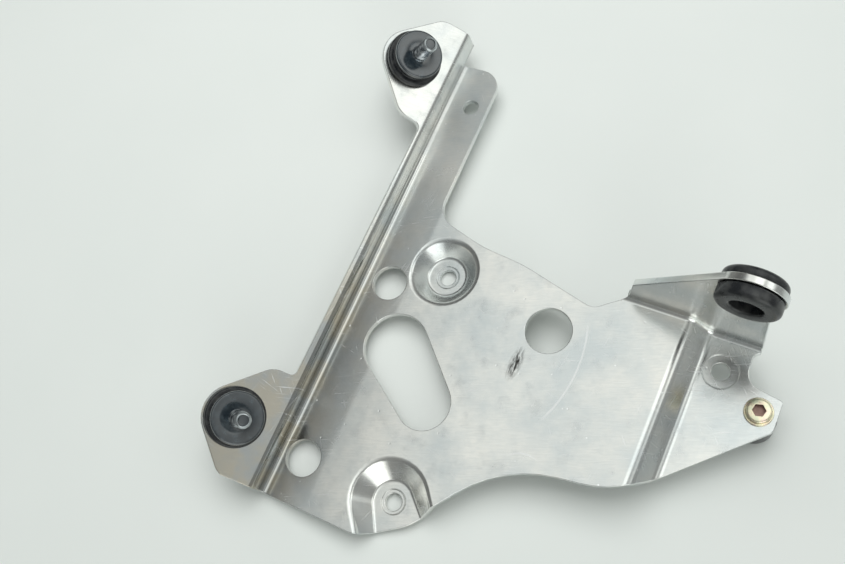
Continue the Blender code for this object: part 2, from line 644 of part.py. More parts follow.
def isolator(which, side):
    """Rubber isolator on an ear, with its disc and stud, base stud, washer and nut."""
    mount = mounting(which + "_isolator_mount", ear_frame(side))

    base = GAP
    recess = base + BASE_DISC_THICKNESS + GAP
    recess_radius = BASE_DISC_RADIUS + GAP
    flange_top = base + ISOLATOR_FLANGE_HEIGHT
    rubber_top = base + ISOLATOR_RUBBER_HEIGHT
    edge = ISOLATOR_FLANGE_HEIGHT / 4.0
    lip = (rubber_top - flange_top) / 3.0
    flange = ISOLATOR_FLANGE_RADIUS
    rubber_section = [
        (0.0, recess),
        (recess_radius, recess),
        (recess_radius, base),
        *arc((flange - edge, base + edge), edge, -90.0, 0.0, 30.0),
        *arc((flange - edge, flange_top - edge), edge, 0.0, 90.0, 30.0),
        (ISOLATOR_WAIST_RADIUS + lip / 2.0, flange_top),
        (ISOLATOR_WAIST_RADIUS, flange_top + lip / 2.0),
        (ISOLATOR_WAIST_RADIUS, rubber_top - lip),
        (ISOLATOR_HEAD_RADIUS, rubber_top - lip / 2.0),
        (ISOLATOR_HEAD_RADIUS, rubber_top),
        (0.0, rubber_top),
    ]
    rubber = revolve(which + "_isolator_rubber", rubber_section)
    finish(rubber, RUBBER, mount)

    disc_low = rubber_top + GAP
    disc_top = disc_low + ISOLATOR_DISC_THICKNESS
    round_edge = ISOLATOR_DISC_EDGE
    stud_top = disc_top + ISOLATOR_STUD_LENGTH
    disc_rim = (ISOLATOR_DISC_RADIUS - round_edge, disc_top - round_edge)
    stud_section = [
        (0.0, disc_low),
        (ISOLATOR_DISC_RADIUS - round_edge / 2.0, disc_low),
        (ISOLATOR_DISC_RADIUS, disc_low + round_edge / 2.0),
        *arc(disc_rim, round_edge, 0.0, 90.0, 22.5),
        (M6_RADIUS + round_edge, disc_top),
        (M6_RADIUS, disc_top + round_edge),
        (M6_RADIUS, stud_top - STUD_CHAMFER),
        (M6_RADIUS - STUD_CHAMFER, stud_top),
        (0.0, stud_top),
    ]
    stud = revolve(which + "_isolator_stud", stud_section, ROUND_STEPS)
    finish(stud, DARK_STEEL, mount)

    washer_top = -SHEET - GAP
    washer_low = washer_top - WASHER_THICKNESS
    nut_top = washer_low - GAP
    nut_low = nut_top - NUT_HEIGHT
    tail = nut_low - STUD_BEYOND_NUT
    base_section = [
        (0.0, base + BASE_DISC_THICKNESS),
        (BASE_DISC_RADIUS, base + BASE_DISC_THICKNESS),
        (BASE_DISC_RADIUS, base),
        (M6_RADIUS, base),
        (M6_RADIUS, tail + STUD_CHAMFER),
        (M6_RADIUS - STUD_CHAMFER, tail),
        (0.0, tail),
    ]
    base_stud = revolve(which + "_isolator_base", base_section, SMALL_STEPS)
    finish(base_stud, ZINC, mount)

    bore = M6_RADIUS + GAP
    washer_section = [
        (bore, washer_low),
        (WASHER_RADIUS, washer_low),
        (WASHER_RADIUS, washer_top),
        (bore, washer_top),
    ]
    washer = revolve(which + "_isolator_washer", washer_section, SMALL_STEPS, closed=True)
    finish(washer, ZINC, mount)

    nut = prism(which + "_isolator_nut", hexagon(NUT_ACROSS_FLATS), nut_low, nut_top)
    chamfer_radius = NUT_FACE_SHARE * NUT_ACROSS_FLATS / 2.0
    corner_radius = NUT_ACROSS_FLATS / math.sqrt(3.0)
    drop = (corner_radius - chamfer_radius) * math.tan(math.radians(30.0))
    chamfer_section = [
        (0.0, nut_low - SKIM),
        (chamfer_radius, nut_low - SKIM),
        (corner_radius + SKIM, nut_low + drop),
        (corner_radius + SKIM, nut_top - drop),
        (chamfer_radius, nut_top + SKIM),
        (0.0, nut_top + SKIM),
    ]
    combine(nut, revolve("nut_chamfer", chamfer_section), "INTERSECT")
    combine(nut, cylinder("nut_bore", bore, nut_low - SHEET, nut_top + SHEET), "DIFFERENCE")
    finish(nut, ZINC, mount)


def tab_grommet():
    """Rubber grommet whose groove grips the lug's hole; Z of its mount points to the front."""
    mount = mounting("grommet_mount", LUG_FRAME)
    front_low = GAP
    front_high = front_low + GROMMET_FRONT
    rear_high = -SHEET - GAP
    rear_low = rear_high - GROMMET_REAR
    edge = GROMMET_EDGE
    rim = GROMMET_RADIUS - edge
    mouth = GROMMET_BORE_RADIUS + edge / 2.0
    section = [
        (GROMMET_BORE_RADIUS, rear_low + edge / 2.0),
        (mouth, rear_low),
        *arc((rim, rear_low + edge), edge, -90.0, 0.0, 22.5),
        (GROMMET_RADIUS, rear_high),
        (GROMMET_NECK_RADIUS, rear_high),
        (GROMMET_NECK_RADIUS, front_low),
        (GROMMET_RADIUS, front_low),
        *arc((rim, front_high - edge), edge, 0.0, 90.0, 22.5),
        (mouth, front_high),
        (GROMMET_BORE_RADIUS, front_high - edge / 2.0),
    ]
    grommet = revolve("tab_grommet", section, closed=True)
    finish(grommet, RUBBER, mount)


def cap_screw(mount):
    """Socket cap screw through the low corner."""
    seat = GAP
    head_top = seat + SCREW_HEAD_HEIGHT
    edge = SCREW_HEAD_EDGE
    tip = seat - SCREW_LENGTH
    section = [
        (0.0, tip),
        (M5_RADIUS - STUD_CHAMFER, tip),
        (M5_RADIUS, tip + STUD_CHAMFER),
        (M5_RADIUS, seat),
        (SCREW_HEAD_RADIUS, seat),
        *arc((SCREW_HEAD_RADIUS - edge, head_top - edge), edge, 0.0, 90.0, 30.0),
        (0.0, head_top),
    ]
    screw = revolve("cap_screw", section)
    floor = head_top - SCREW_SOCKET_DEPTH
    socket = prism("socket", hexagon(SCREW_SOCKET_ACROSS), floor, head_top + edge)
    combine(screw, socket, "DIFFERENCE")
    finish(screw, YELLOW_ZINC, mount)


def rubber_foot(mount):
    """Rubber buffer under the low corner with its threaded insert."""
    top = -SHEET - GAP
    low = top - FOOT_HEIGHT
    insert_low = GAP - SCREW_LENGTH - GAP - INSERT_FLOOR
    flange_low = top - INSERT_FLANGE_THICKNESS
    edge = FOOT_EDGE
    pocket_radius = INSERT_FLANGE_RADIUS + GAP
    hub_pocket = INSERT_HUB_RADIUS + GAP
    rubber_section = [
        (0.0, low),
        *arc((FOOT_RADIUS - edge, low + edge), edge, -90.0, 0.0, 30.0),
        *arc((FOOT_RADIUS - edge, top - edge), edge, 0.0, 90.0, 30.0),
        (pocket_radius, top),
        (pocket_radius, flange_low - GAP),
        (hub_pocket, flange_low - GAP),
        (hub_pocket, insert_low - GAP),
        (0.0, insert_low - GAP),
    ]
    rubber = revolve("foot_rubber", rubber_section)
    finish(rubber, RUBBER, mount)

    bore = M5_RADIUS + GAP
    bore_floor = GAP - SCREW_LENGTH - GAP
    insert_section = [
        (0.0, insert_low),
        (INSERT_HUB_RADIUS, insert_low),
        (INSERT_HUB_RADIUS, flange_low),
        (INSERT_FLANGE_RADIUS, flange_low),
        (INSERT_FLANGE_RADIUS, top),
        (bore, top),
        (bore, bore_floor),
        (0.0, bore_floor),
    ]
    insert = revolve("foot_insert", insert_section, SMALL_STEPS)
    finish(insert, ZINC, mount)


bracket_plate()
isolator("upper", 1)
isolator("lower", -1)
tab_grommet()
screw_mount = mounting("screw_mount", at(SCREW_X, SCREW_Y, -JOGGLE_DROP))
cap_screw(screw_mount)
rubber_foot(screw_mount)
bpy.context.view_layer.update()
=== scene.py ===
import math

import bpy
from mathutils import Matrix, Vector


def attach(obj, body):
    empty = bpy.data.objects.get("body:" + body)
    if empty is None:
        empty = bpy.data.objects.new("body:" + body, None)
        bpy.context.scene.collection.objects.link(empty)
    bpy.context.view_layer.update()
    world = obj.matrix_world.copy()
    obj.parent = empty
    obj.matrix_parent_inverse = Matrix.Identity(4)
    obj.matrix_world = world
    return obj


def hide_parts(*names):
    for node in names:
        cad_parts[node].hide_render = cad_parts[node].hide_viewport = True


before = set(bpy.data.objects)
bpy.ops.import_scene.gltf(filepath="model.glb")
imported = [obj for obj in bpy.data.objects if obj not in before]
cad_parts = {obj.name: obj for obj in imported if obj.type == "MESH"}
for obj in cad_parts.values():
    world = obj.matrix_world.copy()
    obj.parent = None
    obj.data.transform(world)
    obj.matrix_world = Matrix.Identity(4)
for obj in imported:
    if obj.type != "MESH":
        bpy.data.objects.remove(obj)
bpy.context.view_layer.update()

# The camera stands above the bracket's lower right side and looks down on it.
# Its place and turn were solved from the round holes and square corners in the photograph.
MM = 0.001
CAMERA_PLACE = (105.9, -81.2, 314.0)
CAMERA_RIGHT = (0.87383, 0.40760, -0.26510)
CAMERA_UP = (-0.30690, 0.88525, 0.34948)
CAMERA_LENS = 38.34
FILM_WIDTH = 36.0
NEAREST_SEEN = 0.01

camera_data = bpy.data.cameras.new("camera")
camera_data.lens = CAMERA_LENS
camera_data.sensor_width = FILM_WIDTH
camera_data.clip_start = NEAREST_SEEN
camera = bpy.data.objects.new("camera", camera_data)
right = Vector(CAMERA_RIGHT).normalized()
up = Vector(CAMERA_UP).normalized()
turn = Matrix((right, up, right.cross(up))).transposed().to_4x4()
camera.matrix_world = Matrix.Translation(Vector(CAMERA_PLACE) * MM) @ turn
bpy.context.scene.collection.objects.link(camera)
bpy.context.scene.camera = camera
bpy.context.scene.view_settings.view_transform = "Standard"

# The room: a pale ceiling, dim at its left end and brightest just right of overhead, with one
# window high on the right and behind, a low one near on the right, and dim grey walls.
# The bare metal mirrors all of it. Places in it are given as parts of a unit vector.
ROOM_WHITE = "#F2F6F3"
# The ceiling's brightness from left to right. A dark beam at 0.49 parts it from its right end.
CEILING_LEVELS = (
    (-0.60, 0.14), (-0.50, 0.20), (-0.45, 0.34), (-0.40, 0.75), (-0.30, 1.09), (-0.15, 0.97),
    (-0.06, 1.05), (0.0, 1.15), (0.08, 1.55), (0.39, 1.55), (0.49, 0.26), (0.85, 1.0), (0.85, 0.12))
# Where the ceiling ends near, far and low down: the axis, where it is gone and where it is whole.
CEILING_EDGES = (("Y", -0.74, 0.22), ("Y", 0.85, 0.50), ("Z", 0.30, 0.60))
WALL_SPAN = (-0.5, 0.7)
WALL_LEVELS = (0.22, 0.34)
# Each window: the way to it, its level, and how near to that way its glow begins and is full.
WINDOWS = (
    ((0.67, 0.44, 0.60), 0.9, 0.955, 0.99),
    ((0.62, -0.74, 0.26), 1.5, 0.88, 0.96))


def linear(code):
    """Linear colour from an sRGB hex code."""
    shares = [int(code[i:i + 2], 16) / 255.0 for i in (1, 3, 5)]
    return tuple(s / 12.92 if s <= 0.04045 else ((s + 0.055) / 1.055) ** 2.4
                 for s in shares) + (1.0,)


def add_node(tree, kind, inputs=None, **settings):
    """Add a node with its settings, and give each input a value or a link."""
    made = tree.nodes.new(kind)
    for name, value in settings.items():
        setattr(made, name, value)
    for key, value in (inputs or {}).items():
        socket = made.inputs[key]
        if isinstance(value, bpy.types.NodeSocket):
            tree.links.new(value, socket)
        else:
            socket.default_value = value
    return made


world = bpy.data.worlds.new("studio_room")
bpy.context.scene.world = world
world.use_nodes = True
room = world.node_tree
room.nodes.clear()
way = add_node(room, "ShaderNodeTexCoord").outputs["Generated"]
axes = add_node(room, "ShaderNodeSeparateXYZ", {0: way}).outputs
left_end, right_end = CEILING_LEVELS[0][0], CEILING_LEVELS[-1][0]
across = add_node(room, "ShaderNodeMapRange", {
    "Value": axes["X"], "From Min": left_end, "From Max": right_end})
ceiling = add_node(room, "ShaderNodeValToRGB", {"Fac": across.outputs[0]})
stops = ceiling.color_ramp.elements
for number, (x, strength) in enumerate(CEILING_LEVELS):
    position = (x - left_end) / (right_end - left_end)
    # A new ramp already has two stops.
    stop = stops[number] if number < 2 else stops.new(position)
    stop.position = position
    stop.color = (strength, strength, strength, 1.0)
overhead = 1.0
for axis, gone, whole in CEILING_EDGES:
    edge = add_node(room, "ShaderNodeMapRange", {
        "Value": axes[axis], "From Min": gone, "From Max": whole},
        interpolation_type="SMOOTHSTEP")
    overhead = add_node(room, "ShaderNodeMath", {0: overhead, 1: edge.outputs[0]},
                        operation="MULTIPLY").outputs[0]
walls = add_node(room, "ShaderNodeMapRange", {
    "Value": axes["X"], "From Min": WALL_SPAN[0], "From Max": WALL_SPAN[1],
    "To Min": WALL_LEVELS[0], "To Max": WALL_LEVELS[1]})
level = add_node(room, "ShaderNodeMix", {
    "Factor": overhead, "A": walls.outputs[0], "B": ceiling.outputs["Color"]}).outputs[0]
for window_way, window_level, begins, full in WINDOWS:
    nearness = add_node(room, "ShaderNodeVectorMath", {
        0: way, 1: Vector(window_way).normalized()}, operation="DOT_PRODUCT")
    window = add_node(room, "ShaderNodeMapRange", {
        "Value": nearness.outputs["Value"], "From Min": begins, "From Max": full,
        "To Max": window_level}, interpolation_type="SMOOTHSTEP")
    level = add_node(room, "ShaderNodeMath", {0: level, 1: window.outputs[0]},
                     operation="ADD").outputs[0]
glow = add_node(room, "ShaderNodeBackground", {"Color": linear(ROOM_WHITE), "Strength": level})
add_node(room, "ShaderNodeOutputWorld", {"Surface": glow.outputs[0]})

# One soft lamp hangs high over the bracket's far end and lays its faint shadow on the bench.
# The metal doesn't mirror it: what shows in the metal is the room above.
KEY_PLACE = (-0.04, 0.20, 0.60)
KEY_AIM = (0.02, 0.0, 0.0)
KEY_SIZE = 0.5
KEY_POWER = 2.15
key_data = bpy.data.lights.new("overhead_softbox", "AREA")
key_data.shape = "SQUARE"
key_data.size = KEY_SIZE
key_data.energy = KEY_POWER
key = bpy.data.objects.new("overhead_softbox", key_data)
key.location = KEY_PLACE
key.rotation_euler = (Vector(KEY_AIM) - Vector(KEY_PLACE)).to_track_quat("-Z", "Y").to_euler()
key.visible_glossy = False
bpy.context.scene.collection.objects.link(key)

# The bench: a pale painted board that the bracket rests on with its two pressings and its foot,
# so it leans a little against the main plate. A faint mottle runs over the paint.
REST_POINTS = ((-26.52, 2.82, -9.3), (96.98, -7.2, -22.5), (-10.44, -84.36, -9.22))
BOARD_WIDTH = 8.0
BOARD_TONES = ("#DDE2DF", "#E7EAE7")
BOARD_ROUGHNESS = 0.6
BOARD_SHEEN = 0.3
MOTTLES_PER_METRE = 9.0

first, second, third = (Vector(p) * MM for p in REST_POINTS)
board_normal = (third - first).cross(second - first).normalized()
bpy.ops.object.select_all(action="DESELECT")
bpy.ops.mesh.primitive_plane_add(size=BOARD_WIDTH)
bench = bpy.context.object
bench.name = "bench_board"
lean = Vector((0, 0, 1)).rotation_difference(board_normal).to_matrix().to_4x4()
drop = Matrix.Translation(board_normal * board_normal.dot(first))
bench.data.transform(drop @ lean)

board = bpy.data.materials.new("painted_board")
board.use_nodes = True
paint = board.node_tree
shader = paint.nodes["Principled BSDF"]
shader.inputs["Roughness"].default_value = BOARD_ROUGHNESS
shader.inputs["Specular IOR Level"].default_value = BOARD_SHEEN
spot = add_node(paint, "ShaderNodeTexCoord").outputs["Object"]
mottle = add_node(paint, "ShaderNodeTexNoise", {
    "Vector": spot, "Scale": MOTTLES_PER_METRE, "Detail": 4.0})
tone = add_node(paint, "ShaderNodeMix", {
    "Factor": mottle.outputs[0], "A": linear(BOARD_TONES[0]), "B": linear(BOARD_TONES[1])},
    data_type="RGBA")
paint.links.new(tone.outputs["Result"], shader.inputs["Base Color"])
bench.data.materials.append(board)

# The bracket itself: one sheet of soft aluminium, blanked, folded and pressed in a die.
# The die rolls every cut edge a little, so a thin bright line runs round the outline and the
# holes. The sheet is worked on in millimetres and goes back to metres when its edges are done.
TO_MM = Matrix.Scale(1.0 / MM, 4)
TO_METRES = Matrix.Scale(MM, 4)
EDGE_ROLL = 0.32
EDGE_STEPS = 3
CUT_EDGE_ANGLE = math.radians(50.0)
FLAT_ANGLE = math.radians(0.6)
SMOOTH_ANGLE = math.radians(35.0)
SHEET_WELD = 0.02
FACE_WEIGHT = 100


def pick(piece):
    """Select one piece alone and make it the active one."""
    bpy.ops.object.select_all(action="DESELECT")
    piece.select_set(True)
    bpy.context.view_layer.objects.active = piece


plate = bpy.data.objects.new("rolled_edge_plate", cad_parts["bracket_plate"].data.copy())
bpy.context.scene.collection.objects.link(plate)
plate.data.transform(TO_MM)
pick(plate)
bpy.ops.object.mode_set(mode="EDIT")
bpy.ops.mesh.select_all(action="SELECT")
bpy.ops.mesh.remove_doubles(threshold=SHEET_WELD)
bpy.ops.mesh.dissolve_limited(angle_limit=FLAT_ANGLE)
bpy.ops.object.mode_set(mode="OBJECT")
roll = plate.modifiers.new("rolled_edges", "BEVEL")
roll.width = EDGE_ROLL
roll.segments = EDGE_STEPS
roll.limit_method = "ANGLE"
roll.angle_limit = CUT_EDGE_ANGLE
roll.use_clamp_overlap = False
bpy.ops.object.modifier_apply(modifier=roll.name)
plate.data.transform(TO_METRES)
bpy.ops.object.shade_smooth_by_angle(angle=SMOOTH_ANGLE)
even = plate.modifiers.new("even_shading", "WEIGHTED_NORMAL")
even.keep_sharp = True
even.weight = FACE_WEIGHT
bpy.ops.object.modifier_apply(modifier=even.name)
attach(plate, "root")
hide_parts("bracket_plate")

# Aluminium alloy sheet, rolled and then left bare: it mirrors the room softly through a fine
# haze, with hairline scratches every way, small knocks, and painted shade beyond the fold.
# Sizes are in millimetres. A pair of levels says where a pattern begins and where it is full.
CLEAN_TONE = "#F3F1EC"
CLOUD_TONE = "#DADFE0"
STAIN_TONE = "#BCC1C4"
GRAIN_TONE = "#BFC3C2"
PAINTED_SHADE_TONES = ("#AEB1B1", "#BBB4A5")
FRESH_CUT_TONE = "#FFFFFF"
RUB_TONE = "#3B3A38"


def new_finish(name):
    """Start a material whose patterns are measured in millimetres over the piece itself."""
    made = bpy.data.materials.new(name)
    made.use_nodes = True
    tree = made.node_tree
    spot = add_node(tree, "ShaderNodeTexCoord").outputs["Object"]
    place = add_node(tree, "ShaderNodeMapping", {"Vector": spot, "Scale": (1.0 / MM,) * 3})
    return made, tree, tree.nodes["Principled BSDF"], place.outputs["Vector"]


aluminium, metal, shader, place = new_finish("bare_rolled_aluminium_sheet")
shader.inputs["Metallic"].default_value = 1.0

# Ageing in clouds of about 30 mm, and faint blue-grey stains of about 9 mm.
CLOUD_SIZE = 30.0
CLOUD_LEVELS = (0.35, 0.65)
STAIN_SIZE = 9.0
STAIN_LEVELS = (0.50, 0.75)
STAIN_SHARE = 0.22
cloud = add_node(metal, "ShaderNodeTexNoise", {
    "Vector": place, "Scale": 1.0 / CLOUD_SIZE, "Detail": 5.0, "Roughness": 0.62}).outputs[0]
clouded = add_node(metal, "ShaderNodeMapRange", {
    "Value": cloud, "From Min": CLOUD_LEVELS[0], "From Max": CLOUD_LEVELS[1]}).outputs[0]
stain = add_node(metal, "ShaderNodeTexNoise", {
    "Vector": place, "Scale": 1.0 / STAIN_SIZE, "Detail": 5.0, "Roughness": 0.6}).outputs[0]
stained = add_node(metal, "ShaderNodeMapRange", {
    "Value": stain, "From Min": STAIN_LEVELS[0], "From Max": STAIN_LEVELS[1]},
    interpolation_type="SMOOTHSTEP").outputs[0]
tinted = add_node(metal, "ShaderNodeMath", {0: stained, 1: STAIN_SHARE},
                  operation="MULTIPLY").outputs[0]

# Hairlines in patches of 14 mm, coarser than the real ones of 0.05 mm, so that they show.
# Each layer: its turn in degrees, the hairlines' length and spacing, and where one begins.
HAIRLINES = (
    (24.0, 13.0, 0.42, 0.68), (-52.0, 10.0, 0.5, 0.70),
    (80.0, 16.0, 0.45, 0.70), (-15.0, 9.0, 0.4, 0.71))
HAIRLINE_EDGE = 0.08
HAIRLINE_SHARE = 0.7
PATCH_SIZE = 14.0
PATCH_LEVELS = (0.42, 0.62)
patch = add_node(metal, "ShaderNodeTexNoise", {
    "Vector": place, "Scale": 1.0 / PATCH_SIZE, "Detail": 2.0}).outputs[0]
patched = add_node(metal, "ShaderNodeMapRange", {
    "Value": patch, "From Min": PATCH_LEVELS[0], "From Max": PATCH_LEVELS[1]}).outputs[0]
scratches = 0.0
for heading, length, spacing, begins in HAIRLINES:
    drawn_out = add_node(metal, "ShaderNodeMapping", {
        "Vector": place, "Rotation": (0.0, 0.0, math.radians(heading)),
        "Scale": (length, spacing, length)}, vector_type="TEXTURE")
    grain = add_node(metal, "ShaderNodeTexNoise", {
        "Vector": drawn_out.outputs[0], "Scale": 1.0, "Detail": 1.0})
    lines = add_node(metal, "ShaderNodeMapRange", {
        "Value": grain.outputs[0], "From Min": begins, "From Max": begins + HAIRLINE_EDGE,
        "To Max": HAIRLINE_SHARE})
    scratches = add_node(metal, "ShaderNodeMath", {0: scratches, 1: lines.outputs[0]},
                         operation="MAXIMUM").outputs[0]
scratches = add_node(metal, "ShaderNodeMath", {0: scratches, 1: patched},
                     operation="MULTIPLY").outputs[0]

# Knocks: pin-head dents up to 0.9 mm wide, most of them one or two centimetres apart.
# Their rims and floors are radii in shares of the cell that each one lies in.
KNOCK_CELL = 5.0
KNOCK_RIM = 0.09
KNOCK_FLOOR = 0.03
EMPTY_CELLS = 0.55
cells = add_node(metal, "ShaderNodeTexVoronoi", {"Vector": place, "Scale": 1.0 / KNOCK_CELL})
dents = add_node(metal, "ShaderNodeMapRange", {
    "Value": cells.outputs["Distance"], "From Min": KNOCK_RIM, "From Max": KNOCK_FLOOR})
draw = add_node(metal, "ShaderNodeSeparateXYZ", {0: cells.outputs["Color"]})
kept = add_node(metal, "ShaderNodeMath", {0: draw.outputs[0], 1: EMPTY_CELLS},
                operation="GREATER_THAN")
knocks = add_node(metal, "ShaderNodeMath", {0: dents.outputs[0], 1: kept.outputs[0]},
                  operation="MULTIPLY").outputs[0]

# One dark rub beside the large hole, broken up into short strokes along its length.
RUB_PLACE = (20.9, -20.3, 0.0)
RUB_HEADING = -3.0
RUB_REACH = (2.7, 7.4, 3.0)
RUB_LEVELS = (1.0, 0.35)
STROKE_SIZE = (0.7, 3.0, 1.0)
STROKE_LEVELS = (0.36, 0.58)
rub_frame = add_node(metal, "ShaderNodeMapping", {
    "Vector": place, "Location": RUB_PLACE, "Rotation": (0.0, 0.0, math.radians(RUB_HEADING)),
    "Scale": RUB_REACH}, vector_type="TEXTURE")
rub_distance = add_node(metal, "ShaderNodeVectorMath", {0: rub_frame.outputs[0]},
                        operation="LENGTH")
rub_fade = add_node(metal, "ShaderNodeMapRange", {
    "Value": rub_distance.outputs["Value"], "From Min": RUB_LEVELS[0],
    "From Max": RUB_LEVELS[1]})
stroke_frame = add_node(metal, "ShaderNodeMapping", {
    "Vector": place, "Scale": tuple(1.0 / size for size in STROKE_SIZE)})
stroke = add_node(metal, "ShaderNodeTexNoise", {
    "Vector": stroke_frame.outputs[0], "Scale": 1.0, "Detail": 3.0})
strokes = add_node(metal, "ShaderNodeMapRange", {
    "Value": stroke.outputs[0], "From Min": STROKE_LEVELS[0], "From Max": STROKE_LEVELS[1]})
rub = add_node(metal, "ShaderNodeMath", {0: rub_fade.outputs[0], 1: strokes.outputs[0]},
               operation="MULTIPLY").outputs[0]

# Two wide, pale curved scratches: a long one right of the large hole, and a short one near the
# plate's lower edge. Each: its arc's centre and radius, its middle, and its reach from there.
ARCS = (
    ((-8.7, -13.5, 0.0), 51.4, (42.6, -17.0, 0.0), 21.0),
    ((38.3, -59.0, 0.0), 9.8, (36.0, -49.8, 0.0), 6.5))
ARC_EDGE = 0.5
ARC_CORE = 0.1
ARC_SHARE = 0.7
ARC_FADE = 5.0
for centre, radius, middle, reach in ARCS:
    away = add_node(metal, "ShaderNodeVectorMath", {0: place, 1: centre}, operation="DISTANCE")
    off_line = add_node(metal, "ShaderNodeMath", {0: away.outputs["Value"], 1: radius},
                        operation="SUBTRACT")
    beside = add_node(metal, "ShaderNodeMath", {0: off_line.outputs[0]}, operation="ABSOLUTE")
    line = add_node(metal, "ShaderNodeMapRange", {
        "Value": beside.outputs[0], "From Min": ARC_EDGE, "From Max": ARC_CORE,
        "To Max": ARC_SHARE})
    within = add_node(metal, "ShaderNodeVectorMath", {0: place, 1: middle},
                      operation="DISTANCE")
    ends = add_node(metal, "ShaderNodeMapRange", {
        "Value": within.outputs["Value"], "From Min": reach, "From Max": reach - ARC_FADE})
    arc_line = add_node(metal, "ShaderNodeMath", {0: line.outputs[0], 1: ends.outputs[0]},
                        operation="MULTIPLY")
    scratches = add_node(metal, "ShaderNodeMath", {0: scratches, 1: arc_line.outputs[0]},
                         operation="MAXIMUM").outputs[0]

# The rolling left a fine grain across the sheet, in streaks about 0.5 mm apart and 5 mm long.
MILL_HEADING = 21.0
MILL_STREAK = (5.0, 0.5, 5.0)
MILL_LEVELS = (0.40, 0.66)
MILL_SHARE = 0.13
rolled = add_node(metal, "ShaderNodeMapping", {
    "Vector": place, "Rotation": (0.0, 0.0, math.radians(MILL_HEADING)),
    "Scale": MILL_STREAK}, vector_type="TEXTURE")
streaks = add_node(metal, "ShaderNodeTexNoise", {
    "Vector": rolled.outputs[0], "Scale": 1.0, "Detail": 3.0})
streaked = add_node(metal, "ShaderNodeMapRange", {
    "Value": streaks.outputs[0], "From Min": MILL_LEVELS[0], "From Max": MILL_LEVELS[1],
    "To Max": MILL_SHARE}).outputs[0]

# Painted shade: beyond the channel fold, most at the lower end, the sheet is painted darker,
# mottled blue-grey and brown in patches of 12 mm. There it also keeps more of its mill polish.
FOLD_SIDE = (-30.0, -50.0)
FOLD_SHARE = 0.85
LOWER_END = (40.0, -40.0)
UPPER_SHARE = 0.15
SHADE_MOTTLE_SIZE = 12.0
SHADE_MOTTLE_LEVELS = (0.38, 0.62)
sheet = add_node(metal, "ShaderNodeSeparateXYZ", {0: place}).outputs
beyond_fold = add_node(metal, "ShaderNodeMapRange", {
    "Value": sheet["X"], "From Min": FOLD_SIDE[0], "From Max": FOLD_SIDE[1],
    "To Max": FOLD_SHARE})
shade_mottle = add_node(metal, "ShaderNodeTexNoise", {
    "Vector": place, "Scale": 1.0 / SHADE_MOTTLE_SIZE, "Detail": 4.0})
shade_mottled = add_node(metal, "ShaderNodeMapRange", {
    "Value": shade_mottle.outputs[0], "From Min": SHADE_MOTTLE_LEVELS[0], "From Max": SHADE_MOTTLE_LEVELS[1]},
    interpolation_type="SMOOTHSTEP")
lower_end = add_node(metal, "ShaderNodeMapRange", {
    "Value": sheet["Y"], "From Min": LOWER_END[0], "From Max": LOWER_END[1],
    "To Min": UPPER_SHARE})
painted_shade_tone = add_node(metal, "ShaderNodeMix", {
    "Factor": shade_mottled.outputs[0], "A": linear(PAINTED_SHADE_TONES[0]), "B": linear(PAINTED_SHADE_TONES[1])},
    data_type="RGBA").outputs["Result"]
painted_shade = add_node(metal, "ShaderNodeMath", {
    0: beyond_fold.outputs[0], 1: lower_end.outputs[0]}, operation="MULTIPLY").outputs[0]

# The layers go on in this order, each over what is there by its own share.
fresh_cuts = add_node(metal, "ShaderNodeMath", {0: knocks, 1: scratches}, operation="ADD",
                      use_clamp=True).outputs[0]
tone = linear(CLEAN_TONE)
for share, layer_tone in (
        (clouded, linear(CLOUD_TONE)), (streaked, linear(GRAIN_TONE)), (painted_shade, painted_shade_tone),
        (tinted, linear(STAIN_TONE)), (fresh_cuts, linear(FRESH_CUT_TONE)),
        (rub, linear(RUB_TONE))):
    tone = add_node(metal, "ShaderNodeMix", {"Factor": share, "A": tone, "B": layer_tone},
                    data_type="RGBA").outputs["Result"]
metal.links.new(tone, shader.inputs["Base Color"])

# The haze follows the clouds. Scratches and stains dull it, the strip's upper end was rubbed
# matt in handling, and the mill polish under the painted shade takes a little off.
HAZE_LEVELS = (0.3, 0.7)
HAZE_ROUGHNESS = (0.17, 0.26)
SCRATCH_DULLING = 0.16
STAIN_DULLING = 0.08
MATT_START = (36.0, 62.0)
MATT_DULLING = 0.24
STRIP_SIDE = (-52.0, -46.0)
POLISH = -0.07
roughness = add_node(metal, "ShaderNodeMapRange", {
    "Value": cloud, "From Min": HAZE_LEVELS[0], "From Max": HAZE_LEVELS[1],
    "To Min": HAZE_ROUGHNESS[0], "To Max": HAZE_ROUGHNESS[1]}).outputs[0]
upper_end = add_node(metal, "ShaderNodeMapRange", {
    "Value": sheet["Y"], "From Min": MATT_START[0], "From Max": MATT_START[1],
    "To Max": MATT_DULLING}).outputs[0]
on_strip = add_node(metal, "ShaderNodeMapRange", {
    "Value": sheet["X"], "From Min": STRIP_SIDE[0], "From Max": STRIP_SIDE[1]}).outputs[0]
for share, change in ((scratches, SCRATCH_DULLING), (stained, STAIN_DULLING),
                      (upper_end, on_strip), (painted_shade, POLISH)):
    roughness = add_node(metal, "ShaderNodeMath", {0: share, 1: change, 2: roughness},
                         operation="MULTIPLY_ADD").outputs[0]
metal.links.new(roughness, shader.inputs["Roughness"])

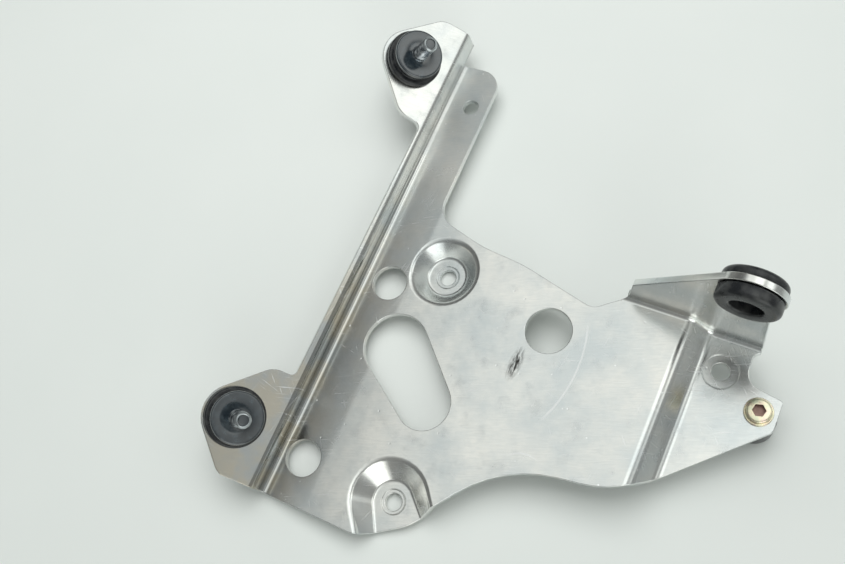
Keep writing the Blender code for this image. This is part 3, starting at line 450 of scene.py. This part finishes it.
# Scratches and knocks are cut in, and the rolled skin waves by about 0.01 mm every 7 mm.
# Depths are in steps of RELIEF_STEP.
WAVE_SIZE = 7.0
WAVE_HEIGHT = 2.0
SCRATCH_DEPTH = 0.35
KNOCK_DEPTH = 3.0
RELIEF_STEP = 0.012
waves = add_node(metal, "ShaderNodeTexNoise", {
    "Vector": place, "Scale": 1.0 / WAVE_SIZE, "Detail": 4.0, "Roughness": 0.45})
cut_in = add_node(metal, "ShaderNodeMath", {0: scratches, 1: SCRATCH_DEPTH},
                  operation="MULTIPLY")
deep = add_node(metal, "ShaderNodeMath", {0: knocks, 1: KNOCK_DEPTH, 2: cut_in.outputs[0]},
                operation="MULTIPLY_ADD")
skin = add_node(metal, "ShaderNodeMath", {0: waves.outputs[0], 1: WAVE_HEIGHT},
                operation="MULTIPLY")
surface = add_node(metal, "ShaderNodeMath", {0: skin.outputs[0], 1: deep.outputs[0]},
                   operation="SUBTRACT")
relief = add_node(metal, "ShaderNodeBump", {
    "Height": surface.outputs[0], "Strength": 1.0, "Distance": RELIEF_STEP * MM})
metal.links.new(relief.outputs[0], shader.inputs["Normal"])
plate.data.materials.clear()
plate.data.materials.append(aluminium)

# The two isolators: a moulded rubber spool stands on each ear, with a black-coated steel disc
# and its threaded stud moulded on top. Below the ear a nut and washer hold the spool's own stud.
# Both are alike, so each piece is made once, in millimetres up from the ear's face, and copied.
EAR_TILT = math.radians(39.0)
EAR_CENTRE = (-63.522, 79.1, 18.450)
TURN_STEPS = 72
TURN_WELD = 0.001
M6_RADIUS = 3.0
M6_PITCH = 1.0
THREAD_ROWS = 8
THREAD_DEPTH = 0.55
THREAD_MARGIN = 0.01


def arc_points(centre, radius, start, end, steps):
    """Points along an arc, angles in degrees, both ends included."""
    angles = [math.radians(start + (end - start) * i / steps) for i in range(steps + 1)]
    return [(centre[0] + radius * math.cos(a), centre[1] + radius * math.sin(a)) for a in angles]


def thread_rows(radius, low, high, pitch):
    """Close rows up a shank, so that a thread can be cut in them."""
    count = int((high - low) / pitch * THREAD_ROWS)
    return [(radius, low + (high - low) * i / count) for i in range(count + 1)]


def cut_thread(piece, radius, low, high, pitch):
    """Press a helical thread into the shank between two heights, fading out at both ends."""
    depth = THREAD_DEPTH * pitch
    for vertex in piece.data.vertices:
        x, y, z = vertex.co
        on_shank = abs(math.hypot(x, y) - radius) <= THREAD_MARGIN
        if not on_shank or not low - THREAD_MARGIN < z < high + THREAD_MARGIN:
            continue
        phase = (z / pitch - math.atan2(y, x) / (2.0 * math.pi)) % 1.0
        fade = min(1.0, (z - low) / pitch, (high - z) / pitch)
        scale = 1.0 - depth * max(fade, 0.0) * (1.0 - abs(2.0 * phase - 1.0)) / radius
        vertex.co = (x * scale, y * scale, z)


def turned(name, section, closed=False):
    """Spin a section of (radius, height) points round the Z axis into a solid."""
    mesh = bpy.data.meshes.new(name)
    links = [(i, i + 1) for i in range(len(section) - 1)]
    if closed:
        links.append((len(section) - 1, 0))
    mesh.from_pydata([(r, 0.0, z) for r, z in section], links, [])
    piece = bpy.data.objects.new(name, mesh)
    bpy.context.scene.collection.objects.link(piece)
    pick(piece)
    bpy.ops.object.mode_set(mode="EDIT")
    bpy.ops.mesh.select_all(action="SELECT")
    bpy.ops.mesh.spin(steps=TURN_STEPS, angle=2.0 * math.pi, center=(0.0, 0.0, 0.0),
                      axis=(0.0, 0.0, 1.0))
    bpy.ops.mesh.select_all(action="SELECT")
    bpy.ops.mesh.remove_doubles(threshold=TURN_WELD)
    bpy.ops.mesh.normals_make_consistent(inside=False)
    bpy.ops.object.mode_set(mode="OBJECT")
    return piece


def cut_with(piece, tool, kind):
    """Cut a piece with a tool by an exact boolean, and throw the tool away."""
    cut = piece.modifiers.new("cut", "BOOLEAN")
    cut.operation = kind
    cut.solver = "EXACT"
    cut.object = tool
    pick(piece)
    bpy.ops.object.modifier_apply(modifier=cut.name)
    bpy.data.objects.remove(tool)


def settle(piece, frame_matrix, material, *nodes):
    """Put a finished piece in its place, smooth it, give it its material and let it ride."""
    piece.data.transform(TO_METRES @ frame_matrix)
    pick(piece)
    bpy.ops.object.shade_smooth_by_angle(angle=SMOOTH_ANGLE)
    piece.data.materials.clear()
    piece.data.materials.append(material)
    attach(piece, "root")
    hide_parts(*nodes)


# Natural rubber with carbon black, moulded: satin black with a grain of 0.5 mm, coarser than the
# real one so that it shows, and with dusty spots of 3 mm that lift it to grey.
RUBBER_IOR = 1.52
RUBBER_TONES = ("#1B1D20", "#3E3F3E")
RUBBER_ROUGHNESS = (0.22, 0.38)
RUBBER_GRAIN = 0.5
RUBBER_RELIEF = 0.02
DUST_SIZE = 3.0
DUST_LEVELS = (0.45, 0.75)
GLOSS_LEVELS = (0.3, 0.7)
rubber, moulded, shader, place = new_finish("moulded_black_rubber")
shader.inputs["IOR"].default_value = RUBBER_IOR
grain = add_node(moulded, "ShaderNodeTexNoise", {
    "Vector": place, "Scale": 1.0 / RUBBER_GRAIN, "Detail": 3.0})
dust = add_node(moulded, "ShaderNodeTexNoise", {
    "Vector": place, "Scale": 1.0 / DUST_SIZE, "Detail": 5.0})
dusty = add_node(moulded, "ShaderNodeMapRange", {
    "Value": dust.outputs[0], "From Min": DUST_LEVELS[0], "From Max": DUST_LEVELS[1]})
tone = add_node(moulded, "ShaderNodeMix", {
    "Factor": dusty.outputs[0], "A": linear(RUBBER_TONES[0]), "B": linear(RUBBER_TONES[1])},
    data_type="RGBA")
moulded.links.new(tone.outputs["Result"], shader.inputs["Base Color"])
satin = add_node(moulded, "ShaderNodeMapRange", {
    "Value": dust.outputs[0], "From Min": GLOSS_LEVELS[0], "From Max": GLOSS_LEVELS[1],
    "To Min": RUBBER_ROUGHNESS[0], "To Max": RUBBER_ROUGHNESS[1]})
moulded.links.new(satin.outputs[0], shader.inputs["Roughness"])
relief = add_node(moulded, "ShaderNodeBump", {
    "Height": grain.outputs[0], "Strength": 0.6, "Distance": RUBBER_RELIEF * MM})
moulded.links.new(relief.outputs[0], shader.inputs["Normal"])

PLATING_STRENGTH = 0.4
PLATING_RELIEF = 0.01


def coated_steel(name, size, detail, levels, tones, roughness, relief=True):
    """A coat on steel whose colour, gloss and relief follow the same spots, size in mm."""
    made, tree, shader, place = new_finish(name)
    spots = add_node(tree, "ShaderNodeTexNoise", {
        "Vector": place, "Scale": 1.0 / size, "Detail": detail})
    shown = add_node(tree, "ShaderNodeMapRange", {
        "Value": spots.outputs[0], "From Min": levels[0], "From Max": levels[1]})
    tone = add_node(tree, "ShaderNodeMix", {
        "Factor": shown.outputs[0], "A": linear(tones[0]), "B": linear(tones[1])},
        data_type="RGBA")
    tree.links.new(tone.outputs["Result"], shader.inputs["Base Color"])
    gloss = add_node(tree, "ShaderNodeMapRange", {
        "Value": spots.outputs[0], "From Min": GLOSS_LEVELS[0], "From Max": GLOSS_LEVELS[1],
        "To Min": roughness[0], "To Max": roughness[1]})
    tree.links.new(gloss.outputs[0], shader.inputs["Roughness"])
    if relief:
        bump = add_node(tree, "ShaderNodeBump", {
            "Height": spots.outputs[0], "Strength": PLATING_STRENGTH,
            "Distance": PLATING_RELIEF * MM})
        tree.links.new(bump.outputs[0], shader.inputs["Normal"])
    return made, shader


# Steel disc with a black electro-dipped coat: smooth and near black, with a blue-grey sheen.
black_coat, shader = coated_steel(
    "black_coated_steel", size=2.5, detail=5.0, levels=(0.5, 0.8),
    tones=("#1E272D", "#3C474E"), roughness=(0.13, 0.24))
shader.inputs["IOR"].default_value = 1.75
shader.inputs["Coat Weight"].default_value = 1.0
shader.inputs["Coat Roughness"].default_value = 0.09

# Steel with bright zinc plating: cool grey and half bright, with a fine spangle of duller grey.
zinc, shader = coated_steel(
    "zinc_plated_steel", size=1.5, detail=4.0, levels=(0.0, 1.0),
    tones=("#C9CED0", "#989EA2"), roughness=(0.22, 0.38))
shader.inputs["Metallic"].default_value = 1.0

# The same steel with a black passivation on the zinc: dark grey, rubbed through to pale spots.
dark_zinc, shader = coated_steel(
    "black_passivated_zinc", size=1.8, detail=3.0, levels=(0.42, 0.62),
    tones=("#646A70", "#C2C7CA"), roughness=(0.24, 0.36), relief=False)
shader.inputs["Metallic"].default_value = 1.0

# The rubber spool, from its foot on the ear up to the waist and the lip under the disc.
spool = turned("rubber_spool", [
    (0.0, 1.8), (8.3, 1.8), (8.3, 0.3),
    *arc_points((10.6, 1.0), 0.7, -90.0, 0.0, 5), *arc_points((10.3, 2.0), 1.0, 0.0, 90.0, 8),
    *arc_points((9.5, 3.6), 0.6, 270.0, 180.0, 5), (8.9, 4.0),
    *arc_points((9.1, 4.9), 0.5, -60.0, 0.0, 4), (9.6, 5.4), (0.0, 5.4)])

# The disc, a ring round the stud with a rounded rim.
disc = turned("disc", [
    (3.05, 5.7), (9.3, 5.7), *arc_points((9.3, 6.2), 0.5, -60.0, 0.0, 4),
    *arc_points((8.9, 7.0), 0.9, 0.0, 90.0, 8), (5.2, 7.9), (4.9, 7.8), (3.05, 7.8)],
    closed=True)

# The upper stud: its chamfer is painted bright zinc as a painted highlight, and its end black as
# painted shade.
STUD_THREAD = (8.6, 19.3)
CHAMFER_LOW = 19.35
END_RADIUS = 1.95
PAINTED_HIGHLIGHT_SLOT, PAINTED_SHADE_SLOT = 1, 2
stud = turned("stud", [
    (0.0, 5.7), (2.9, 5.7), (2.9, 7.82), (3.3, 7.82), (2.9, 8.2), (2.9, 8.5),
    *thread_rows(M6_RADIUS, *STUD_THREAD, M6_PITCH),
    (2.9, 19.5), (2.4, 20.05), (2.2, 20.1), (2.0, 20.0), (1.8, 19.6), (0.0, 19.4)])
cut_thread(stud, M6_RADIUS, *STUD_THREAD, M6_PITCH)
tip_slots = {}
for face in stud.data.polygons:
    off_axis = math.hypot(face.center.x, face.center.y)
    if off_axis <= END_RADIUS and face.center.z > STUD_THREAD[1]:
        tip_slots[face.index] = PAINTED_SHADE_SLOT
    elif off_axis > END_RADIUS and face.center.z > CHAMFER_LOW:
        tip_slots[face.index] = PAINTED_HIGHLIGHT_SLOT

# The base disc, bonded into the spool's foot, with its stud down through the ear.
TAIL_THREAD = (-10.8, 0.0)
tail = turned("base_stud", [
    (0.0, 1.5), (7.9, 1.5), (8.0, 1.4), (8.0, 0.4), (7.9, 0.3), (3.2, 0.3),
    *reversed(thread_rows(M6_RADIUS, *TAIL_THREAD, M6_PITCH)), (2.4, -11.3), (0.0, -11.3)])
cut_thread(tail, M6_RADIUS, *TAIL_THREAD, M6_PITCH)

# The washer under the ear, and the hexagon nut, chamfered at both ends of its flats and bore.
NUT_CORNER = 5.7735
NUT_HEIGHT = 5.0
NUT_MIDDLE = (0.0, 0.0, -6.8)
washer = turned("washer", [
    (3.3, -2.9), (3.4, -2.8), (6.15, -2.8), (6.25, -2.95), (6.25, -3.9), (6.15, -4.0),
    (3.4, -4.0), (3.3, -3.9)], closed=True)
bpy.ops.object.select_all(action="DESELECT")
bpy.ops.mesh.primitive_cylinder_add(vertices=6, radius=NUT_CORNER, depth=NUT_HEIGHT)
nut = bpy.context.object
nut.data.transform(Matrix.Translation(NUT_MIDDLE))
cut_with(nut, turned("nut_chamfer", [
    (0.0, -9.32), (4.8, -9.32), (5.9, -8.7), (5.9, -4.9), (4.8, -4.28), (0.0, -4.28)]),
    "INTERSECT")
cut_with(nut, turned("nut_bore", [
    (0.0, -9.8), (3.6, -9.8), (3.05, -8.9), (3.05, -4.7), (3.6, -3.8), (0.0, -3.8)]),
    "DIFFERENCE")

# The upper spool has set a little towards the fold, and took its disc and stud with it.
# The lower one still stands true.
SPOOL_SET = {"upper": 0.8, "lower": 0.0}
ISOLATOR_PIECES = (
    (spool, "rubber_spool", rubber, "rubber"), (disc, "disc", black_coat, "stud"),
    (stud, "stud", dark_zinc, "stud"), (tail, "base_stud", zinc, "base"),
    (washer, "washer", zinc, "washer"), (nut, "hexagon_nut", zinc, "nut"))
for side, which in ((1, "upper"), (-1, "lower")):
    ear = Matrix.Translation((EAR_CENTRE[0], side * EAR_CENTRE[1], EAR_CENTRE[2]))
    ear = ear @ Matrix.Rotation(EAR_TILT, 4, "Y")
    top = ear @ Matrix.Translation((SPOOL_SET[which], 0.0, 0.0))
    for model, label, material, node in ISOLATOR_PIECES:
        piece = model.copy()
        piece.data = model.data.copy()
        piece.name = which + "_" + label
        bpy.context.scene.collection.objects.link(piece)
        settle(piece, top if model in (spool, disc, stud) else ear, material,
               which + "_isolator_" + node)
        # The chamfer takes the bright zinc as a painted highlight, and the end the black coat as
        # painted shade.
        if model is stud:
            piece.data.materials.append(zinc)
            piece.data.materials.append(black_coat)
            for index, slot_number in tip_slots.items():
                piece.data.polygons[index].material_index = slot_number
for model, *_ in ISOLATOR_PIECES:
    bpy.data.objects.remove(model)

# The grommet: a black rubber ring whose groove grips the hole in the upright tab.
# Its lips are moulded full and round. A pin on the instrument would push into its bore.
LUG_CENTRE = (91.2, 17.1, 40.3)
lug = Matrix.Translation(LUG_CENTRE) @ Matrix.Rotation(math.radians(90.0), 4, "X")
grommet = turned("tab_grommet_ring", [
    *arc_points((6.1, -5.1), 0.9, 180.0, 270.0, 6),
    *arc_points((8.7, -4.3), 1.7, -90.0, 0.0, 10),
    (10.4, -3.1), (10.2, -2.8), (8.5, -2.8), (8.5, 0.3), (10.2, 0.3), (10.4, 0.6),
    *arc_points((8.6, 2.9), 1.8, 0.0, 90.0, 10), *arc_points((6.2, 3.7), 1.0, 90.0, 180.0, 6)],
    closed=True)
settle(grommet, lug, rubber, "tab_grommet")

# The socket screw in the low corner, M5, cold-forged with a low button head on a thin flange.
# It goes through the sheet and holds the rubber foot below it.
CORNER_CENTRE = (103.9, -5.2, -8.0)
SCREW_SHIFT = (0.05, 0.25, 0.0)
M5_RADIUS = 2.5
M5_PITCH = 0.8
SCREW_THREAD = (-9.1, 0.2)
SOCKET_ACROSS = 4.1
SOCKET_HEIGHT = 3.6
SOCKET_MIDDLE = (0.0, 0.0, 2.1)
SOCKET_TURN = math.radians(-15.0)
SOCKET_WALLS = (0.2, 2.7)
SOCKET_RADIUS = 2.3
corner = Matrix.Translation(CORNER_CENTRE)
seat = corner @ Matrix.Translation(SCREW_SHIFT)
screw = turned("flanged_socket_screw", [
    (0.0, -9.7), (1.8, -9.7), *thread_rows(M5_RADIUS, *SCREW_THREAD, M5_PITCH),
    (2.5, 0.3), (4.8, 0.3), *arc_points((4.75, 0.55), 0.25, -45.0, 90.0, 5),
    (4.5, 0.85), (4.4, 1.0), (4.3, 1.7), *arc_points((3.5, 2.0), 0.8, 0.0, 80.0, 7),
    (3.4, 2.85), (0.0, 2.9)])
cut_thread(screw, M5_RADIUS, *SCREW_THREAD, M5_PITCH)
bpy.ops.object.select_all(action="DESELECT")
bpy.ops.mesh.primitive_cylinder_add(vertices=6, radius=SOCKET_ACROSS / math.sqrt(3.0),
                                    depth=SOCKET_HEIGHT)
socket = bpy.context.object
socket.data.transform(Matrix.Translation(SOCKET_MIDDLE) @ Matrix.Rotation(SOCKET_TURN, 4, "Z"))
cut_with(screw, socket, "DIFFERENCE")
inside = [face.index for face in screw.data.polygons
          if math.hypot(face.center.x, face.center.y) < SOCKET_RADIUS
          and SOCKET_WALLS[0] < face.center.z < SOCKET_WALLS[1]]

# Steel with yellow chromate over zinc: pale gold that turns pink and green in patches of 2 mm.
CHROMATE_SIZE = 2.2
CHROMATE_ROUGHNESS = (0.2, 0.34)
CHROMATE_TONES = ((0.36, "#F2DDCB"), (0.5, "#FAF1D2"), (0.66, "#EEEFD2"))
gold_zinc, chromate, shader, place = new_finish("yellow_chromated_zinc")
shader.inputs["Metallic"].default_value = 1.0
film = add_node(chromate, "ShaderNodeTexNoise", {
    "Vector": place, "Scale": 1.0 / CHROMATE_SIZE, "Detail": 3.0})
tint = add_node(chromate, "ShaderNodeValToRGB", {"Fac": film.outputs[0]})
stops = tint.color_ramp.elements
for number, (position, code) in enumerate(CHROMATE_TONES):
    stop = stops[number] if number < 2 else stops.new(position)
    stop.position = position
    stop.color = linear(code)
chromate.links.new(tint.outputs["Color"], shader.inputs["Base Color"])
gloss = add_node(chromate, "ShaderNodeMapRange", {
    "Value": film.outputs[0], "From Min": GLOSS_LEVELS[0], "From Max": GLOSS_LEVELS[1],
    "To Min": CHROMATE_ROUGHNESS[0], "To Max": CHROMATE_ROUGHNESS[1]})
chromate.links.new(gloss.outputs[0], shader.inputs["Roughness"])
relief = add_node(chromate, "ShaderNodeBump", {
    "Height": film.outputs[0], "Strength": PLATING_STRENGTH, "Distance": PLATING_RELIEF * MM})
chromate.links.new(relief.outputs[0], shader.inputs["Normal"])

# Painted shade: inside the socket the film is painted darker, brown and pinkish in spots of 1 mm.
painted_socket_shade, shader = coated_steel(
    "chromate_with_painted_socket_shade", size=1.2, detail=3.0, levels=(0.0, 1.0),
    tones=("#54432F", "#C6A39A"), roughness=(0.25, 0.45), relief=False)
shader.inputs["Metallic"].default_value = 0.6
settle(screw, seat, gold_zinc, "cap_screw")
# The faces inside the socket take the darker chromate as painted shade in the recess.
screw.data.materials.append(painted_socket_shade)
for index in inside:
    screw.data.polygons[index].material_index = 1

# The foot: a rubber buffer bonded to a flanged steel nut, screwed up under the low corner.
# It keeps the bracket off the part below.
FOOT_SHIFT = (-0.6, -1.0, 0.0)
foot_place = corner @ Matrix.Translation(FOOT_SHIFT)
foot = turned("rubber_foot", [
    (0.0, -14.5), *arc_points((6.4, -13.6), 0.9, -90.0, 0.0, 8),
    *arc_points((6.7, -3.4), 0.6, 0.0, 90.0, 6),
    (6.3, -2.8), (6.3, -4.3), (4.9, -4.3), (4.9, -11.5), (0.0, -11.5)])
settle(foot, foot_place, rubber, "foot_rubber")
insert = turned("flanged_insert", [
    (0.0, -11.2), (4.5, -11.2), (4.6, -11.1), (4.6, -4.0), (5.9, -4.0), (6.0, -3.9), (6.0, -2.9),
    (5.9, -2.8), (2.8, -2.8), (2.8, -10.0), (0.0, -10.0)])
settle(insert, foot_place, zinc, "foot_insert")
